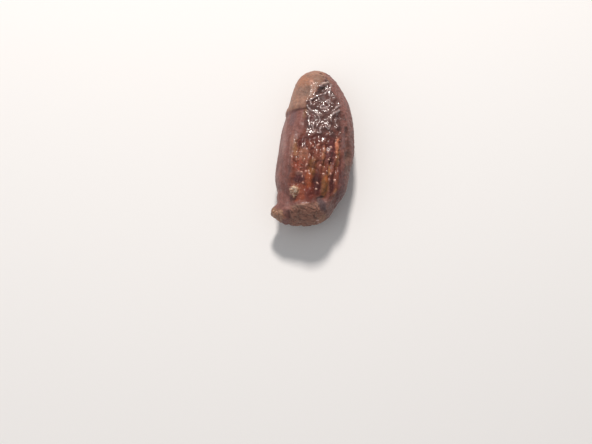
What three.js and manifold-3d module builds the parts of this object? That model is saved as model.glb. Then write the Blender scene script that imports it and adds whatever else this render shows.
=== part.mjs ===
// Caramelized almond: one whole roasted almond in a hard coat of sugar, lying on its flatter side.
//
// Units are millimetres. +Z is up and +Y points to the almond's tip. The origin is on the surface
// that the almond lies on, under the middle of its bounding box.
//
// The coat is thick and smooth round the flanks. On the upper face it leaves a sunken window, where
// it is thin: folded like a skin on milk near the tip, and grainy lower down, with the ridges of the
// almond showing through. A second layer laps over the shoulder beside the tip, a cap of set caramel
// closes the broad end, and lumps of sugar are stuck to the outside. The underside is rough crust
// with a small flat foot.
import * as THREE from "three";
import { ImprovedNoise } from "three/addons/math/ImprovedNoise.js";
import { mergeVertices } from "three/addons/utils/BufferGeometryUtils.js";
import Module from "manifold-3d";

const { smoothstep, clamp, degToRad, lerp } = THREE.MathUtils;
const perlin = new ImprovedNoise();

// ---- Driving dimensions -------------------------------------------------------------------------

const LENGTH = 27.4; // tip to broad end, before the cap is added
const WIDTH = 12.9; // across the widest station
const UPPER_DEPTH = 5.2; // from the seam plane up to the shown face
const LOWER_DEPTH = 4.8; // from the seam plane down to the underside
const FOOT_CUT = 0.5; // how much of the underside is cut flat, upwards from its lowest point

// The outline seen from above and from the side: two half ellipses that meet at the widest station.
// A power under 2 makes an end more pointed.
const PLAN = { widest: 0.59, tipPower: 1.93, broadPower: 2.1 };
const SIDE = { widest: 0.56, tipPower: 1.65, broadPower: 2.1 };
const SECTION_POWER = 2.12; // of the cross-section: 2 is an ellipse, more is squarer
const BOW = [0.85, 0.23]; // first and second harmonic of the midline's sideways bow

const ROWS = 68; // mesh rows from tip to broad end
const COLUMNS = 74; // mesh columns round the almond
const ROWS_TO_ENDS = 0.04; // how far the rows crowd towards both ends
const COLUMNS_TO_TOP = 0.45; // how far the columns crowd towards the shown face
const MERGE_WITHIN = 1e-5; // points closer than this are one point

// Places on the surface are a station, 0 at the tip and 1 at the broad end, and a share of the half
// width, -1 at the left edge and 1 at the right one. facing runs from -1 where the surface faces
// down to 1 where it faces up. Sizes and heights are in millimetres. ragged and wander say how far
// noise shifts a line, in stations or shares, and shakeSize how large that noise's bumps are.
const WINDOW = { from: 0.142, slant: 0.125, to: 0.905, soft: 0.045, sunk: 0.42, facing: [0, 0.3] };
const WINDOW_SHAKE = { ragged: 0.09, shakeSize: 2.2 };

// Each edge of the window has three shares: by the tip, by the shoulder and lower down. changes
// holds the stations between which each share passes to the next.
const LEFT_EDGE = { shares: [-0.12, -0.47, -0.61], changes: [[0.15, 0.29], [0.34, 0.46]] };
const RIGHT_EDGE = { shares: [0.46, 0.65, 0.67], changes: [[0.2, 0.28], [0.6, 0.8]] };
const BAY = { station: 0.57, halfLength: 0.11, depth: 0.27 }; // where the right edge swings out

const FOLDS = { size: 1.9, height: 0.34, until: 0.5, fade: 0.06, crest: 0.3 };
const RIDGES = { spacing: 0.2, height: 0.2, through: 0.05, from: 0.14, to: 0.86, fade: 0.12 };
const RIDGE_SHAKE = { wander: 0.12, shakeSize: 6 };
const GRAINS = { size: 1.15, height: 0.4 };
const SHOULDER = { right: 0.15, soft: 0.12, from: 0.02, fade: 0.06, to: 0.275, slant: 0.05, height: 0.3 };
const SHOULDER_SHAKE = { ragged: 0.03, shakeSize: 2 };
const SHOULDER_STEP = 0.012; // half the stations over which the layer's end drops
const CAP = { from: 0.86, to: 0.95, height: 0.6 };
const LIP = { station: 0.925, slant: 0.03, width: 0.012, height: 0.25, sides: [0.3, 0.75] };
const LIP_SHAKE = { ragged: 0.02, shakeSize: 3 };
const FLANK_WAVES = { size: 4.6, height: 0.28 };
const CRUST = { size: 1.9, height: 0.75, facing: [0.05, 0.6] };
const PEBBLE_LEVEL = 0.6; // the share of a pebble's height that is sunk in the form

// Shifts that give each use of the noise a pattern of its own.
const SHIFTS = { window: 3.7, ridges: 1.3, shoulder: 5.1, lip: 8.9, mounds: 2.9 };

// Mounds swell out of the coat. Angles are in degrees: 0 at the right edge, 90 on top, 180 at the
// left edge.
const MOUNDS = [
  { station: 0.96, angle: 176, radius: 2.4, height: 0.8 },
  { station: 0.9, angle: 178, radius: 2.3, height: 0.75 },
  { station: 0.8, angle: 6, radius: 3.0, height: 0.6 },
  { station: 0.93, angle: 92, radius: 3.0, height: 0.4 },
  { station: 0.3, angle: -42, radius: 2.4, height: 0.4 },
  { station: 0.62, angle: -50, radius: 2.8, height: 0.4 },
  { station: 0.4, angle: -136, radius: 2.6, height: 0.5 },
  { station: 0.74, angle: -128, radius: 2.2, height: 0.4 },
  { station: 0.95, angle: -110, radius: 2.6, height: 0.5 },
];
const MOUND_SHAKE = { uneven: 0.3, shakeSize: 1.6 };

// Lumps are stuck on, each a rough ball that stands out of the coat by a share of its radius.
const LUMPS = [
  { station: 0.962, angle: 178, radius: 2.0, proud: 0.5 },
  { station: 0.985, angle: 160, radius: 1.1, proud: 0.5 },
  { station: 0.84, angle: 118, radius: 0.72, proud: 0.1 },
  { station: 0.872, angle: 122, radius: 0.55, proud: 0.1 },
  { station: 0.5, angle: -32, radius: 0.9, proud: 0.1 },
];
const LUMP_DETAIL = 3; // subdivisions of a lump's icosahedron
const LUMP_SHAKE = { coarse: 0.3, fine: 0.15, finer: 2.2 }; // fine bumps are this many times finer

const CARAMEL = { color: 0x8a5546, roughness: 0.32, metalness: 0 };

// ---- Plain form ---------------------------------------------------------------------------------

// Half extent at a station, as a share of the greatest one.
function outline(station, shape) {
  const towardsTip = station < shape.widest;
  const run = towardsTip ? shape.widest : 1 - shape.widest;
  const power = towardsTip ? shape.tipPower : shape.broadPower;
  return Math.sqrt(Math.max(0, 1 - (Math.abs(station - shape.widest) / run) ** power));
}

function midline(station) {
  return BOW[0] * Math.sin(Math.PI * station) + BOW[1] * Math.sin(2 * Math.PI * station);
}

// A point of the form under the relief, with the seam plane at z = 0.
function formPoint(station, angle) {
  const rounded = (value) => Math.sign(value) * Math.abs(value) ** (2 / SECTION_POWER);
  const halfWidth = (WIDTH / 2) * outline(station, PLAN);
  const depth = (angle > 0 ? UPPER_DEPTH : LOWER_DEPTH) * outline(station, SIDE);
  return new THREE.Vector3(
    midline(station) + halfWidth * rounded(Math.cos(angle)),
    LENGTH * (0.5 - station),
    depth * rounded(Math.sin(angle)),
  );
}

// ---- Relief -------------------------------------------------------------------------------------

// Smooth noise between -1 and 1 with bumps of about the given size.
function noise(point, size, shift = 0) {
  return perlin.noise(point.x / size + shift, point.y / size + shift, point.z / size + shift);
}

// A repeatable number from 0 to 1 for one cell of a grid.
function cellValue(i, j, k, axis) {
  const wave = Math.sin(i * 127.1 + j * 311.7 + k * 74.7 + axis * 53.3) * 43758.5453;
  return wave - Math.floor(wave);
}

// Distances from a point to the nearest and the second nearest of scattered centres, in cells.
function nearestCentres(point, size) {
  const cell = point.clone().divideScalar(size);
  const base = cell.clone().floor();
  const steps = [-1, 0, 1];
  const distances = steps.flatMap((i) =>
    steps.flatMap((j) =>
      steps.map((k) => {
        const at = [base.x + i, base.y + j, base.z + k];
        const centre = new THREE.Vector3(...at.map((value, axis) => value + cellValue(...at, axis)));
        return centre.distanceTo(cell);
      }),
    ),
  );
  return distances.sort((a, b) => a - b).slice(0, 2);
}

// Rounded pebbles: 1 on a pebble's top, falling to the gaps between them.
function pebbles(point, size) {
  const [nearest] = nearestCentres(point, size);
  return 1 - Math.min(1, nearest) ** 2;
}

// A net of folds: 1 on a fold's crest, 0 in the flat cells between them.
function foldNet(point, size) {
  const [nearest, second] = nearestCentres(point, size);
  return 1 - smoothstep(second - nearest, 0, FOLDS.crest);
}

// Where the edge of the window runs at a station, before its bay.
function windowEdge(station, edge) {
  const [byTip, byShoulder, lower] = edge.shares;
  const [opens, widens] = edge.changes;
  const upper = lerp(byTip, byShoulder, smoothstep(station, ...opens));
  return lerp(upper, lower, smoothstep(station, ...widens));
}

// How fully a place lies in the window: 1 inside, 0 outside, ragged along the edge.
function inWindow(place, point) {
  const shake = WINDOW_SHAKE.ragged * noise(point, WINDOW_SHAKE.shakeSize, SHIFTS.window);
  const across = place.across + shake;
  const along = place.station + shake / 2;
  const bay = BAY.depth * Math.exp(-(((along - BAY.station) / BAY.halfLength) ** 2));
  const left = windowEdge(along, LEFT_EDGE);
  const right = windowEdge(along, RIGHT_EDGE) + bay;
  const fromTop = along + WINDOW.slant * across - WINDOW.from;
  return (
    smoothstep(across, left - WINDOW.soft, left + WINDOW.soft) *
    (1 - smoothstep(across, right - WINDOW.soft, right + WINDOW.soft)) *
    smoothstep(fromTop, -WINDOW.soft, WINDOW.soft) *
    (1 - smoothstep(along, WINDOW.to - WINDOW.soft / 2, WINDOW.to + WINDOW.soft / 2)) *
    smoothstep(place.facing, ...WINDOW.facing)
  );
}

// Ridges of the almond's skin, which run along it and die out before both ends.
function ridges(place, point) {
  const drift = RIDGE_SHAKE.wander * noise(point, RIDGE_SHAKE.shakeSize, SHIFTS.ridges);
  const present =
    smoothstep(place.station, RIDGES.from - RIDGES.fade, RIDGES.from + RIDGES.fade) *
    (1 - smoothstep(place.station, RIDGES.to - RIDGES.fade, RIDGES.to + RIDGES.fade));
  return present * Math.cos((2 * Math.PI * (place.across + drift)) / RIDGES.spacing);
}

// The layer that laps over the tip and the left shoulder and ends in a step.
function shoulder(place, point) {
  const shake = SHOULDER_SHAKE.ragged * noise(point, SHOULDER_SHAKE.shakeSize, SHIFTS.shoulder);
  const edge = SHOULDER.to + shake - SHOULDER.slant * place.across;
  return (
    (1 - smoothstep(place.station, edge - SHOULDER_STEP, edge + SHOULDER_STEP)) *
    (1 - smoothstep(place.across, SHOULDER.right - SHOULDER.soft, SHOULDER.right + SHOULDER.soft)) *
    smoothstep(place.station, SHOULDER.from, SHOULDER.from + SHOULDER.fade) *
    smoothstep(place.facing, -0.5, 0)
  );
}

// The rim where the cap meets the window, highest in the middle.
function lip(place, point) {
  const shake = LIP_SHAKE.ragged * noise(point, LIP_SHAKE.shakeSize, SHIFTS.lip);
  const away = (place.station - (LIP.station + shake + LIP.slant * place.across)) / LIP.width;
  const inMiddle = 1 - smoothstep(Math.abs(place.across), ...LIP.sides);
  return Math.exp(-away * away) * inMiddle * clamp(place.facing, 0, 1);
}

// How far the mounds swell at a place, in millimetres.
function mounds(point) {
  const shake = 1 + MOUND_SHAKE.uneven * noise(point, MOUND_SHAKE.shakeSize, SHIFTS.mounds);
  return MOUNDS.reduce((sum, mound) => {
    const seat = formPoint(mound.station, degToRad(mound.angle));
    const away = (point.distanceTo(seat) / mound.radius) * shake;
    return sum + mound.height * Math.max(0, 1 - away * away);
  }, 0);
}

// How far the coat stands out from the form at one place, in millimetres.
function relief(place, point) {
  const open = inWindow(place, point);
  const folded = 1 - smoothstep(place.station, FOLDS.until - FOLDS.fade, FOLDS.until + FOLDS.fade);
  const folds = FOLDS.height * foldNet(point, FOLDS.size);
  const grains = GRAINS.height * (pebbles(point, GRAINS.size) - PEBBLE_LEVEL);
  const skin = RIDGES.height * ridges(place, point) + grains;
  const under = smoothstep(-place.facing, ...CRUST.facing);
  return (
    open * (folded * folds + (1 - folded) * skin - WINDOW.sunk) +
    (1 - open) * FLANK_WAVES.height * noise(point, FLANK_WAVES.size) +
    (1 - open) * RIDGES.through * ridges(place, point) * clamp(place.facing, 0, 1) +
    (1 - open) * SHOULDER.height * shoulder(place, point) +
    CAP.height * smoothstep(place.station, CAP.from, CAP.to) +
    LIP.height * lip(place, point) +
    under * CRUST.height * (pebbles(point, CRUST.size) - PEBBLE_LEVEL) +
    mounds(point)
  );
}

// ---- Solids -------------------------------------------------------------------------------------

// Only the positions, with shared vertices merged, so that the surface is closed.
function closed(geometry) {
  geometry.deleteAttribute("normal");
  geometry.deleteAttribute("uv");
  return mergeVertices(geometry, MERGE_WITHIN);
}

// The whole nut: a sphere's grid spread over the form, then moved along its normals by the relief.
function nutGeometry() {
  const nut = closed(new THREE.SphereGeometry(1, COLUMNS, ROWS));
  const at = nut.attributes.position;
  const places = [];
  for (let i = 0; i < at.count; i++) {
    const tilt = Math.acos(clamp(at.getY(i), -1, 1));
    const station = clamp(tilt / Math.PI - ROWS_TO_ENDS * Math.sin(2 * tilt), 0, 1);
    const turn = Math.atan2(at.getZ(i), at.getX(i));
    const angle = turn + COLUMNS_TO_TOP * Math.cos(turn);
    const point = formPoint(station, angle);
    const halfWidth = Math.max((WIDTH / 2) * outline(station, PLAN), 1e-3);
    places.push({ station, across: (point.x - midline(station)) / halfWidth });
    at.setXYZ(i, ...point);
  }
  nut.computeVertexNormals();
  const normal = new THREE.Vector3();
  const point = new THREE.Vector3();
  for (let i = 0; i < at.count; i++) {
    normal.fromBufferAttribute(nut.attributes.normal, i);
    point.fromBufferAttribute(at, i);
    const height = relief({ ...places[i], facing: normal.z }, point);
    at.setXYZ(i, ...point.addScaledVector(normal, height));
  }
  return nut;
}

// One lump of sugar, uneven all over, sunk into the coat where it is stuck.
function lumpGeometry(lump) {
  const ball = closed(new THREE.IcosahedronGeometry(lump.radius, LUMP_DETAIL));
  const seat = formPoint(lump.station, degToRad(lump.angle));
  const out = new THREE.Vector3(seat.x - midline(lump.station), 0, seat.z).normalize();
  const centre = seat.addScaledVector(out, lump.radius * lump.proud);
  const at = ball.attributes.position;
  const point = new THREE.Vector3();
  for (let i = 0; i < at.count; i++) {
    point.fromBufferAttribute(at, i);
    const world = point.clone().add(centre);
    const coarse = LUMP_SHAKE.coarse * noise(world, lump.radius);
    const fine = LUMP_SHAKE.fine * noise(world, lump.radius / LUMP_SHAKE.finer);
    at.setXYZ(i, ...point.multiplyScalar(1 + coarse + fine).add(centre));
  }
  return ball;
}

// What lies below the foot's plane, to be cut away.
function belowFoot(height) {
  const block = closed(new THREE.BoxGeometry(2 * WIDTH, 2 * LENGTH, 2 * LOWER_DEPTH));
  return block.translate(0, 0, height - LOWER_DEPTH);
}

const wasm = await Module();
wasm.setup();

function toSolid(geometry) {
  const vertProperties = new Float32Array(geometry.attributes.position.array);
  const triVerts = new Uint32Array(geometry.index.array);
  return new wasm.Manifold(new wasm.Mesh({ numProp: 3, vertProperties, triVerts }));
}

function toGeometry(solid) {
  const mesh = solid.getMesh();
  return new THREE.BufferGeometry()
    .setAttribute("position", new THREE.BufferAttribute(mesh.vertProperties, mesh.numProp))
    .setIndex(new THREE.BufferAttribute(mesh.triVerts, 1));
}

// The nut with its lumps, cut flat at the foot, standing on z = 0 over the middle of its box.
function almondGeometry() {
  let solid = toSolid(nutGeometry());
  for (const lump of LUMPS) solid = solid.add(toSolid(lumpGeometry(lump)));
  const foot = FOOT_CUT - LOWER_DEPTH;
  const geometry = toGeometry(solid.subtract(toSolid(belowFoot(foot))));
  geometry.computeBoundingBox();
  const middle = geometry.boundingBox.getCenter(new THREE.Vector3());
  return geometry.translate(-middle.x, -middle.y, -foot);
}

const almond = new THREE.Mesh(almondGeometry(), new THREE.MeshStandardMaterial(CARAMEL));
almond.name = "caramelized_almond";

const part = new THREE.Group();
part.add(almond);

export default part;
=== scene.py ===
"""One caramelized almond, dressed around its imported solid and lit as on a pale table.

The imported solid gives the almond's size, place and main shapes. This script lays a finer coat over it:
a film of caramel that is folded near the tip, beads of caramel and glazed lobes below it, smooth
flanks, a wrinkled cap on the broad end and a rough crust underneath. Beads of caramel, a lump of sugar
and crumbs are stuck on. Lengths are millimetres until they reach Blender, which works in metres.
"""

import logging
import math
from collections.abc import Callable, Mapping
from dataclasses import dataclass
from enum import Enum
from typing import Optional, Union

import bpy
from mathutils import Euler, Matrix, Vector


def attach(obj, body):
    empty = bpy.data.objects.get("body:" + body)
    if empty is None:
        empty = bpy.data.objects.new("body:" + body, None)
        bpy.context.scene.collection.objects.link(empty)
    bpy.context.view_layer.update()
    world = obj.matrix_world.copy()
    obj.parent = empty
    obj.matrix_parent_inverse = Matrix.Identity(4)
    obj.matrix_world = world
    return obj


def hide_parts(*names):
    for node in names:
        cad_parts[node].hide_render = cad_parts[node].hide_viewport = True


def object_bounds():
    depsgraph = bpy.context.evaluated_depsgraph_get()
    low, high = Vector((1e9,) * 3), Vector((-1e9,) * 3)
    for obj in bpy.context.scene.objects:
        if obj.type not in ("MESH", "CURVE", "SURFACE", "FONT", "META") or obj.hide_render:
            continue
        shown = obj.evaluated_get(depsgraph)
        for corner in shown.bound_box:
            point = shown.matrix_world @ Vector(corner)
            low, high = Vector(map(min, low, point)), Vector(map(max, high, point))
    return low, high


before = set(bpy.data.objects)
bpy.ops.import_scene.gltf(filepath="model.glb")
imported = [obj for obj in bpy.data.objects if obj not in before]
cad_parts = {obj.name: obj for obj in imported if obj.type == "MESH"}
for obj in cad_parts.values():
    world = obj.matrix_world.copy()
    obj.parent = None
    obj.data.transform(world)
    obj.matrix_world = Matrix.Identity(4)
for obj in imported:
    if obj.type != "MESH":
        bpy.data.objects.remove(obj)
CAD_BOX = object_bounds()

log = logging.getLogger("almond")
logging.basicConfig(level=logging.INFO, format="%(name)s: %(message)s")

MM = 0.001
NODE = "caramelized_almond"
BODY = "root"

Triple = tuple[float, float, float]
Colour = Triple
Spot = tuple[float, float]
Span = tuple[float, float]  # the two values between which a soft step runs
Bend = tuple[float, float]  # the size of the noise that bends a pattern, and how far it bends it
Socket = bpy.types.NodeSocket


# ---- Nodes written as expressions ----


@dataclass(frozen=True)
class Noise:
    """Soft noise: its bumps' size in millimetres, finer layers, how far it is drawn out, and amount."""

    size: float
    detail: float = 0.0
    stretch: Triple = (1, 1, 1)
    amount: float = 1.0


def math_method(operation: str, reflected: bool = False) -> Callable[["Value", "Number"], "Value"]:
    """Makes a method that adds one Math node to the tree of the number that it is called on.

    Args:
        operation: What the node works out.
        reflected: Whether the other number comes first.

    Returns:
        The method.
    """

    def method(self: "Value", other: "Number") -> "Value":
        """Works out the operation on this number and another."""
        numbers = (other, self) if reflected else (self, other)
        return self.graph.math(operation, *numbers)

    return method


class Value:
    """A number that nodes work out. Arithmetic on it adds Math nodes."""

    def __init__(self, graph: "Graph", socket: Socket) -> None:
        """Wraps the socket that carries the number.

        Args:
            graph: The graph that the socket belongs to.
            socket: The output socket.
        """
        self.graph = graph
        self.socket = socket

    __add__, __radd__ = math_method("ADD"), math_method("ADD", reflected=True)
    __sub__, __rsub__ = math_method("SUBTRACT"), math_method("SUBTRACT", reflected=True)
    __mul__, __rmul__ = math_method("MULTIPLY"), math_method("MULTIPLY", reflected=True)
    __pow__, __rpow__ = math_method("POWER"), math_method("POWER", reflected=True)
    __truediv__ = math_method("DIVIDE")


Number = Union[Value, float]


@dataclass
class Graph:
    """A shader's or a geometry's node tree that is built in code."""

    tree: bpy.types.NodeTree

    def node(
        self, kind: str, settings: Optional[Mapping] = None, inputs: Optional[Mapping] = None
    ) -> bpy.types.Node:
        """Adds one node.

        Args:
            kind: The node's type.
            settings: The node's own properties, which are set first.
            inputs: Values or links for its sockets, by name or number.

        Returns:
            The new node.
        """
        made = self.tree.nodes.new(kind)
        for name, value in (settings or {}).items():
            setattr(made, name, value)
        for key, value in (inputs or {}).items():
            self.feed(made.inputs[key], value)
        return made

    def feed(self, socket: Socket, value: object) -> None:
        """Links a socket to a value, or sets it where the value is a plain one.

        Args:
            socket: The input socket.
            value: A Value, an output socket, a number or a tuple.
        """
        if isinstance(value, Value):
            self.tree.links.new(value.socket, socket)
        elif isinstance(value, bpy.types.NodeSocket):
            self.tree.links.new(value, socket)
        elif isinstance(value, tuple) and socket.type == "RGBA":
            socket.default_value = (*value, 1.0)
        else:
            socket.default_value = value

    def math(self, operation: str, *values: Number) -> Value:
        """Adds a Math node.

        Args:
            operation: What the node works out.
            values: Its numbers, in order.

        Returns:
            The result.
        """
        made = self.node("ShaderNodeMath", {"operation": operation}, dict(enumerate(values)))
        return Value(self, made.outputs[0])

    def most(self, one: Number, other: Number) -> Value:
        """The greater of two numbers."""
        return self.math("MAXIMUM", one, other)

    def least(self, one: Number, other: Number) -> Value:
        """The lesser of two numbers."""
        return self.math("MINIMUM", one, other)

    def vector(self, operation: str, *values: object) -> Socket:
        """Adds a Vector Math node and returns the vector that it works out.

        Args:
            operation: What the node works out.
            values: Vectors, or the scale of a SCALE operation, in order.

        Returns:
            The output socket.
        """
        made = self.node("ShaderNodeVectorMath", {"operation": operation})
        sockets = [s for s in made.inputs if s.enabled]
        for socket, value in zip(sockets, values):
            self.feed(socket, value)
        return made.outputs["Vector"]

    def axes(self, vector: Socket) -> list[Value]:
        """The X, Y and Z of a vector."""
        parts = self.node("ShaderNodeSeparateXYZ", inputs={0: vector}).outputs
        return [Value(self, part) for part in parts]

    def turned(self, vector: Socket, angle: Number) -> Socket:
        """A vector turned about Z by an angle in radians."""
        inputs = {"Vector": vector, "Angle": angle}
        return self.node("ShaderNodeVectorRotate", {"rotation_type": "Z_AXIS"}, inputs).outputs[0]

    def step(self, value: Number, low: Number, high: Number) -> Value:
        """A soft step from 0 at one value to 1 at another."""
        made = self.node(
            "ShaderNodeMapRange",
            {"interpolation_type": "SMOOTHSTEP"},
            {"Value": value, "From Min": low, "From Max": high},
        )
        return Value(self, made.outputs["Result"])

    def past(self, value: Value, soft: float) -> Value:
        """A soft step from 0 to 1 where a number rises past 0."""
        return self.step(value, -soft, soft)

    def bell(self, off: Value) -> Value:
        """A bell curve: 1 where a number is 0, and almost 0 from about 2 outwards."""
        return math.e ** (-1 * off * off)

    def crest(self, distance: Value, width: float) -> Value:
        """A rounded crest: 1 on its line, 0 from the width outwards."""
        share = self.least(distance / width, 1.0)
        return (1 - share * share) ** 2.0

    def noise(self, where: Socket, kind: Noise) -> Value:
        """Soft noise between about -1 and 1.

        Args:
            where: The place, in millimetres.
            kind: The noise's size and form.

        Returns:
            The noise.
        """
        scale = tuple(1 / (kind.size * along) for along in kind.stretch)
        place = self.vector("MULTIPLY", where, scale)
        made = self.node("ShaderNodeTexNoise", inputs={"Vector": place, "Scale": 1.0, "Detail": kind.detail})
        return 2 * Value(self, made.outputs[0]) - 1

    def bump(self, height: Value, rise: float, strength: float) -> Socket:
        """The normal of fine bumps of a height in millimetres."""
        inputs = {"Strength": strength, "Distance": rise * MM, "Height": height}
        return self.node("ShaderNodeBump", inputs=inputs).outputs["Normal"]

    def bent(self, where: Socket, size: float, by: float) -> Socket:
        """A place pushed aside by noise, so that what is drawn with it runs unevenly.

        Args:
            where: The place, in millimetres.
            size: The size of the noise's bumps.
            by: How far the place is pushed at most.

        Returns:
            The new place.
        """
        made = self.node("ShaderNodeTexNoise", inputs={"Vector": where, "Scale": 1 / size, "Detail": 1.0})
        push = self.vector("SUBTRACT", made.outputs["Color"], (0.5, 0.5, 0.5))
        return self.vector("ADD", where, self.vector("SCALE", push, 2 * by))

    def cells(self, where: Socket, size: float, feature: str = "F1") -> Value:
        """Distances in a pattern of scattered cells.

        Args:
            where: The place, in millimetres.
            size: The size of a cell, in millimetres.
            feature: F1 for the distance to a cell's centre, or DISTANCE_TO_EDGE.

        Returns:
            The distance as a share of a cell.
        """
        place = self.vector("SCALE", where, 1 / size)
        made = self.node("ShaderNodeTexVoronoi", {"feature": feature}, {"Vector": place, "Scale": 1.0})
        return Value(self, made.outputs["Distance"])

    def mix(self, mask: Number, below: object, above: object, blend: str = "MIX") -> Socket:
        """Lays one colour over another where a mask is 1.

        Args:
            mask: How fully the upper colour covers.
            below: The lower colour, or its socket.
            above: The upper colour, or its socket.
            blend: How the upper colour acts on the lower one.

        Returns:
            The mixed colour's socket.
        """
        made = self.node("ShaderNodeMix", {"data_type": "RGBA", "blend_type": blend})
        self.feed(made.inputs["Factor"], mask)
        colours = [s for s in made.inputs if s.type == "RGBA"]
        self.feed(colours[0], below)
        self.feed(colours[1], above)
        return next(s for s in made.outputs if s.type == "RGBA")

    def reading(self, attribute: str) -> Value:
        """The number that a piece's mesh carries under a name."""
        made = self.node("ShaderNodeAttribute", {"attribute_name": attribute})
        return Value(self, made.outputs["Fac"])


Sockets = Mapping[str, tuple]
GEOMETRY: Sockets = {"Geometry": ("Geometry",)}


def new_group(name: str, inputs: Sockets = GEOMETRY, outputs: Sockets = GEOMETRY) -> Graph:
    """Makes an empty group of Geometry Nodes.

    Args:
        name: The group's name.
        inputs: The names of its inputs under each socket type.
        outputs: The names of its outputs under each socket type.

    Returns:
        The group's graph.
    """
    tree = bpy.data.node_groups.new(name, "GeometryNodeTree")
    for direction, sockets in (("INPUT", inputs), ("OUTPUT", outputs)):
        for kind, names in sockets.items():
            for socket in names:
                tree.interface.new_socket(socket, in_out=direction, socket_type=f"NodeSocket{kind}")
    return Graph(tree)


# ---- The almond's form ----


@dataclass(frozen=True)
class Form:
    """The plain form under the coat's relief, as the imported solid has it. Lengths in millimetres."""

    tip_y: float = CAD_BOX[1].y / MM
    length: float = 27.4
    half_width: float = 6.45
    widest: float = 0.59
    tip_power: float = 1.93
    broad_power: float = 2.1
    least_fullness: float = 0.01
    bow: tuple[float, float] = (0.85, 0.23)
    middle_x: float = -0.587


@dataclass(frozen=True)
class Place:
    """A place on the almond as nodes know it.

    station runs from 0 at the tip to 1 at the broad end, and across from -1 at the left edge to 1 at
    the right one. where is the place in millimetres.
    """

    graph: Graph
    where: Socket
    x: Value
    y: Value
    z: Value
    station: Value
    across: Value

    @classmethod
    def of(cls, graph: Graph, metres: Socket, form: Form = Form()) -> "Place":
        """Works out the place from a position in metres.

        Args:
            graph: The graph to add nodes to.
            metres: The position's socket.
            form: The almond's plain form.

        Returns:
            The place.
        """
        where = graph.vector("SCALE", metres, 1 / MM)
        x, y, z = graph.axes(where)
        station = (form.tip_y - y) / form.length
        towards_tip = graph.most(form.widest - station, 0.0) / form.widest
        towards_end = graph.most(station - form.widest, 0.0) / (1 - form.widest)
        fullness = 1 - towards_tip**form.tip_power - towards_end**form.broad_power
        half_width = form.half_width * graph.most(fullness, form.least_fullness) ** 0.5
        bend = form.bow[0] * graph.math("SINE", math.pi * station)
        bend = bend + form.bow[1] * graph.math("SINE", 2 * math.pi * station)
        return cls(graph, where, x, y, z, station, (x - form.middle_x - bend) / half_width)

    @classmethod
    def in_shader(cls, graph: Graph) -> "Place":
        """The place that a shader colours, from the piece's own Object coordinates."""
        return cls.of(graph, graph.node("ShaderNodeTexCoord").outputs["Object"])

    def noise(self, kind: Noise) -> Value:
        """Soft noise at the place, between about -1 and 1."""
        return self.graph.noise(self.where, kind)

    def shake(self, kind: Noise) -> Value:
        """Soft noise at the place, times its amount."""
        return kind.amount * self.noise(kind)

    def seam(self, size: float, bend: Bend) -> Value:
        """How far the place lies from the nearest seam between uneven cells, in millimetres."""
        bent = self.graph.bent(self.where, *bend)
        return self.graph.cells(bent, size, "DISTANCE_TO_EDGE") * size

    def reach(self, centre: Spot, radii: Spot) -> Value:
        """How far out the place lies from an ellipse's centre, seen from above.

        Args:
            centre: The ellipse's centre, in millimetres.
            radii: Its radii across and along the almond.

        Returns:
            The distance as a share of the ellipse's size: 1 on the ellipse itself.
        """
        across, along = (self.x - centre[0]) / radii[0], (self.y - centre[1]) / radii[1]
        return (across * across + along * along) ** 0.5


class Reading(Enum):
    """What the almond's mesh carries at each point, for the finishes and the grains to read."""

    WINDOW = "window"
    FILM = "film"
    CREST = "crest"
    CAP = "cap"
    CRUST = "crust"
    TINTED = "tinted"


TINT = "tint"  # the colour of the lobes, to be added where the coat is TINTED


# ---- The coat's relief ----


@dataclass(frozen=True)
class Edge:
    """An edge of the window: shares of the half width, and the stations between which each changes."""

    shares: tuple[float, ...]
    changes: tuple[Span, ...]

    def at(self, station: Value) -> Value:
        """Where the edge runs at a station.

        Args:
            station: The station.

        Returns:
            The edge's place as a share of the half width.
        """
        share = self.shares[0] + 0.0 * station
        for before, after, change in zip(self.shares, self.shares[1:], self.changes):
            share = share + (after - before) * station.graph.step(station, *change)
        return share


@dataclass(frozen=True)
class Window:
    """The sunken window in the smooth coat: folded film by the tip, beads and lobes below it."""

    left: Edge = Edge((-0.12, -0.47, -0.63), ((0.15, 0.29), (0.47, 0.54)))
    right: Edge = Edge((0.46, 0.64, 0.7), ((0.2, 0.28), (0.55, 0.68)))
    bay: float = 0.12
    bay_at: float = 0.83
    bay_length: float = 0.09
    ends: tuple[float, float] = (0.142, 0.918)
    slant: float = 0.125
    right_rise: Span = (-1.0, 1.2)
    right_rise_by: float = 0.04
    soft: float = 0.08
    ends_sharper: float = 3
    rags: Noise = Noise(1.2, 3.0, amount=0.16)
    ends_ragged: float = 0.3
    faces_up: Span = (0.0, 0.3)
    film_until: float = 0.485
    film_soft: float = 0.04
    film_rags: Noise = Noise(1.5, 2.0, amount=0.12)

    def mask(self, place: Place, facing: Value) -> Value:
        """How fully a place lies in the window, ragged along the edge.

        Args:
            place: The place.
            facing: How far the surface faces up.

        Returns:
            1 inside and 0 outside.
        """
        graph = place.graph
        shake = place.shake(self.rags)
        across = place.across + shake
        rise = self.right_rise_by * graph.step(place.x, *self.right_rise)
        station = place.station + self.ends_ragged * shake + rise
        bay = self.bay * graph.bell((station - self.bay_at) / self.bay_length)
        right = self.right.at(station) + bay
        inside = graph.past(across - self.left.at(station), self.soft)
        inside = inside * (1 - graph.past(across - right, self.soft))
        from_top = station + self.slant * across - self.ends[0]
        inside = inside * graph.past(from_top, self.soft / self.ends_sharper)
        inside = inside * (1 - graph.past(station - self.ends[1], self.soft / self.ends_sharper))
        return inside * graph.step(facing, *self.faces_up)

    def film(self, place: Place) -> Value:
        """How fully a place lies in the folded film, in the half of the window by the tip."""
        station = place.station + place.shake(self.film_rags)
        return 1 - place.graph.past(station - self.film_until, self.film_soft)


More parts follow.
